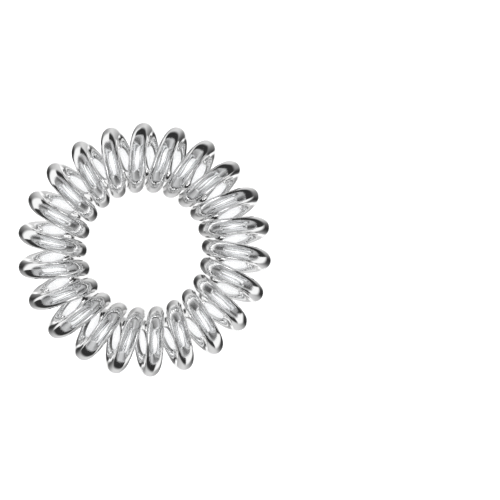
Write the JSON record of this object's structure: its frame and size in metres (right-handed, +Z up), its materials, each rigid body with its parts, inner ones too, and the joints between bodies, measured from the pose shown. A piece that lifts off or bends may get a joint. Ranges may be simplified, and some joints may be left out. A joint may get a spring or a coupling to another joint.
{
  "type": "spiral hair tie",
  "caption": "Closed ring of clear elastic strand wound as a spiral coil, worn round a gathered tail of hair.",
  "frame": {"origin": "on the surface that the tie lies on, under the middle of the ring", "axes": "+Z up along the axis of the ring and of its hole; +X and +Y are the picture's right and up"},
  "size_m": [0.0347, 0.035, 0.0097],
  "materials": {
    "clear_tpu": "clear thermoplastic polyurethane, smooth and glossy"
  },
  "bodies": {
    "root": {"coil": "clear_tpu"}
  },
  "joints": []
}
